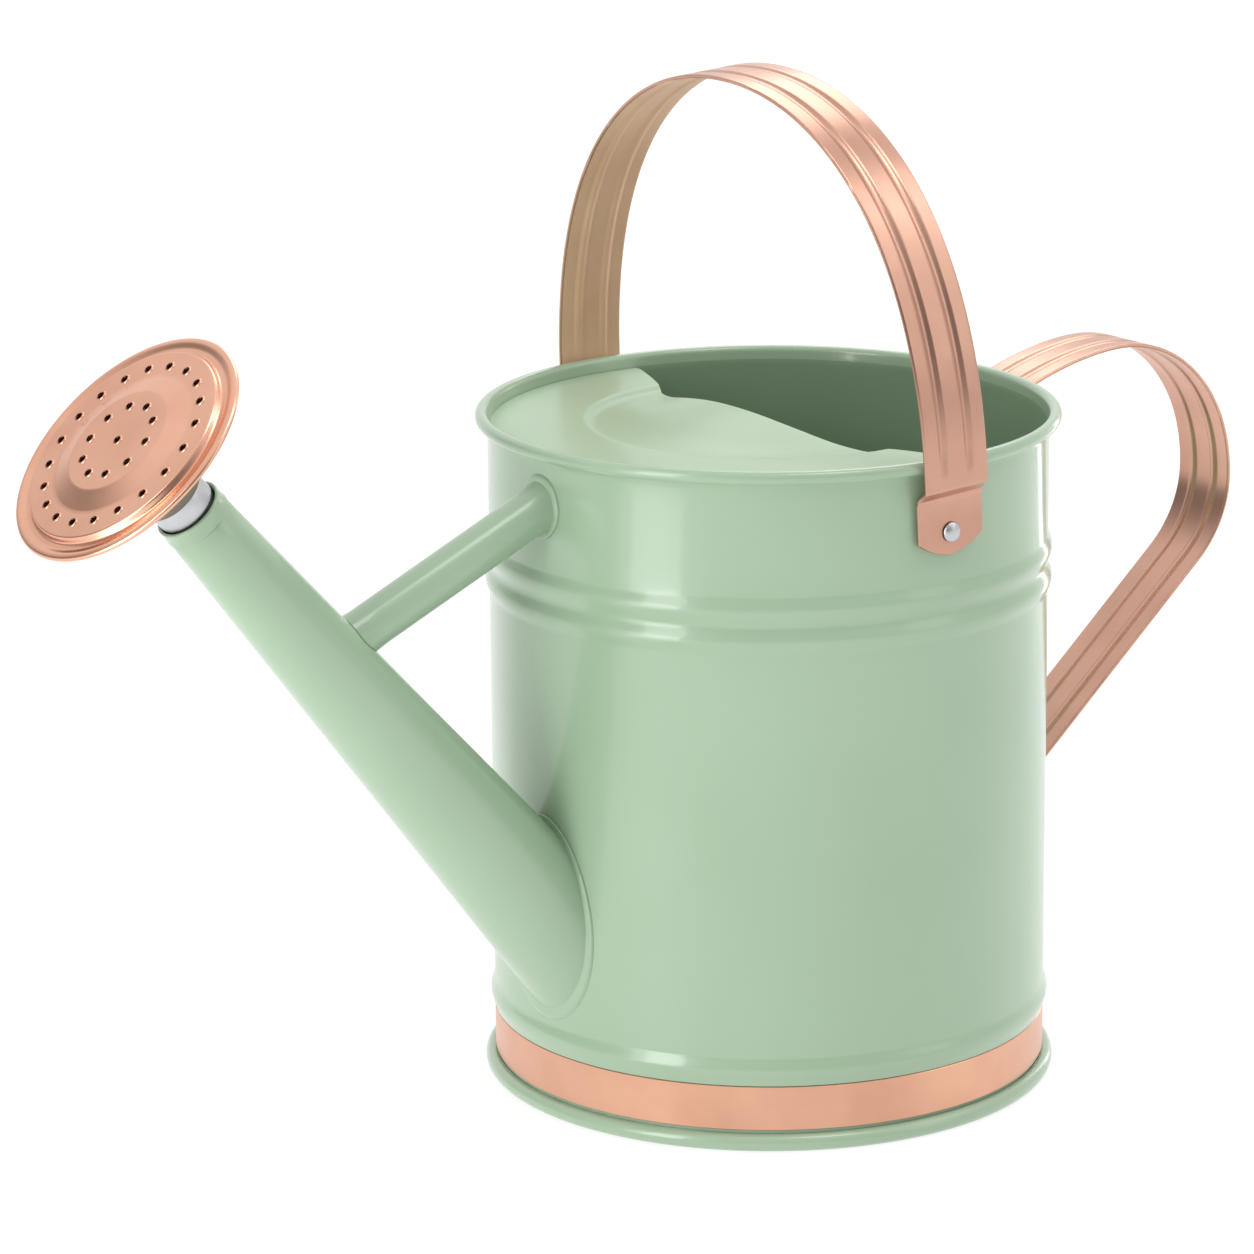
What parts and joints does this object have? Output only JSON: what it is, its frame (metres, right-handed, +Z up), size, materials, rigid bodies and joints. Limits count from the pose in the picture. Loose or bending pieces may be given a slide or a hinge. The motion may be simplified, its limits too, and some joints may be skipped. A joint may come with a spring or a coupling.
{
  "type": "watering can",
  "caption": "Green enamelled metal watering can with half hood, braced spout, pull-off copper rose, swinging top handle and fixed rear handle.",
  "frame": {"origin": "on the tank's axis, at the height of the surface that the can stands on", "axes": "+Z up, -X towards the spout, +X towards the rear handle, +Y and -Y the swing handle's pivots"},
  "size_m": [0.4341, 0.1806, 0.3108],
  "materials": {
    "green_enamel": "glossy pale sage enamel over sheet steel",
    "copper_plate": "satin copper plating over steel strip",
    "bright_steel": "bright zinc-plated steel",
    "black_rubber": "matt moulded rubber"
  },
  "bodies": {
    "can": {"body_shell": "green_enamel", "base_pan": "green_enamel", "hood": "green_enamel", "spout_tube": "green_enamel", "spout_saddle": "green_enamel", "brace_tube": "green_enamel", "brace_saddle": "green_enamel", "base_band": "copper_plate", "rear_handle": "copper_plate", "bail_left_rivet": "bright_steel", "bail_left_washer": "bright_steel", "bail_right_rivet": "bright_steel", "bail_right_washer": "bright_steel", "rear_top_rivet": "bright_steel", "rear_top_washer": "bright_steel", "rear_bottom_rivet": "bright_steel", "rear_bottom_washer": "bright_steel"},
    "bail": {"bail_strap": "copper_plate"},
    "rose": {"rose_face": "copper_plate", "rose_back": "copper_plate", "rose_neck": "bright_steel", "rose_seal": "black_rubber"}
  },
  "joints": [
    {"name": "bail_swing", "type": "hinge", "parent": "can", "child": "bail", "pos_m": [0, 0, 0.18513], "axis": [0, 1, 0], "range_deg": [-82, 74]},
    {"name": "rose_pull", "type": "slide", "parent": "can", "child": "rose", "axis": [-0.6909, 0, 0.723], "range_m": [0, 0.03]}
  ]
}
